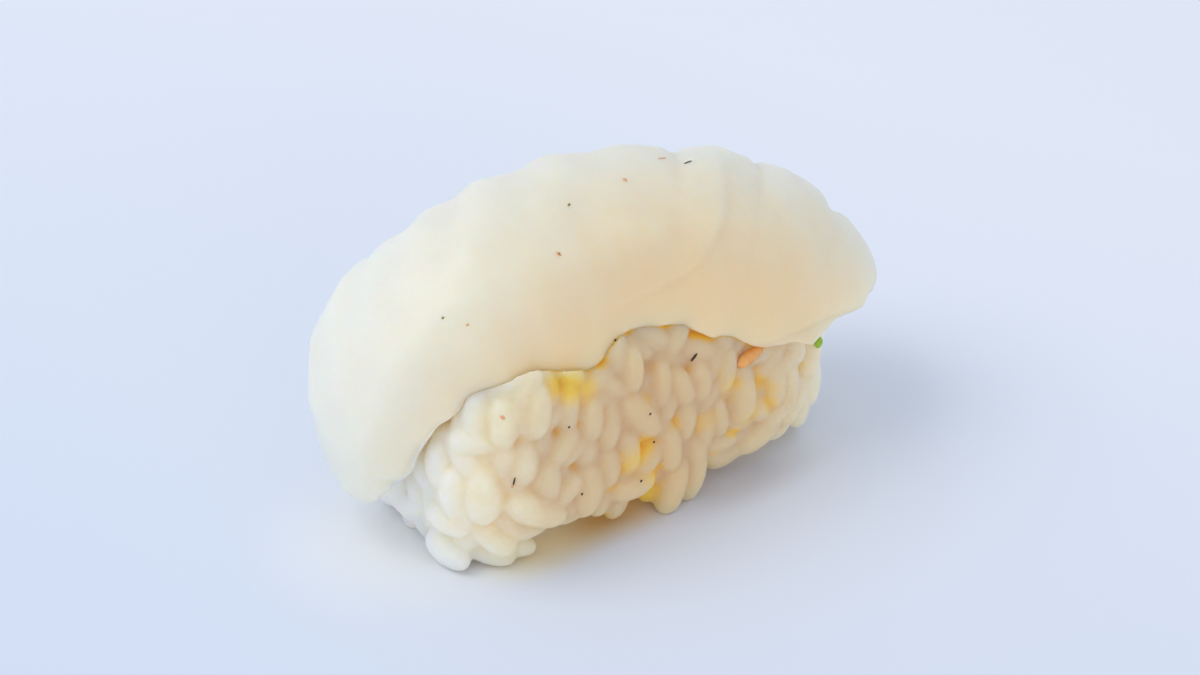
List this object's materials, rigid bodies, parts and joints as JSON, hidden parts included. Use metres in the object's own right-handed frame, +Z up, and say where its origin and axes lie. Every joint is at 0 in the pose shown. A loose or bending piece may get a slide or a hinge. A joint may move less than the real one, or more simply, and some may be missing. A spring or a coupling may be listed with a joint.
{
  "type": "halibut nigiri",
  "caption": "Thick slice of raw white halibut draped over a hand-pressed oblong ball of cooked sushi rice, resting on its flat base.",
  "frame": {"origin": "middle of the rice ball's flat base, on the surface it stands on", "axes": "+X along the slice towards its lobed end, +Y towards the back, +Z up"},
  "size_m": [0.0654, 0.0334, 0.0348],
  "materials": {
    "raw_halibut": "moist translucent raw fish",
    "cooked_rice": "sticky translucent cooked rice"
  },
  "bodies": {
    "root": {"fish_slice": "raw_halibut", "rice": "cooked_rice"}
  },
  "joints": []
}
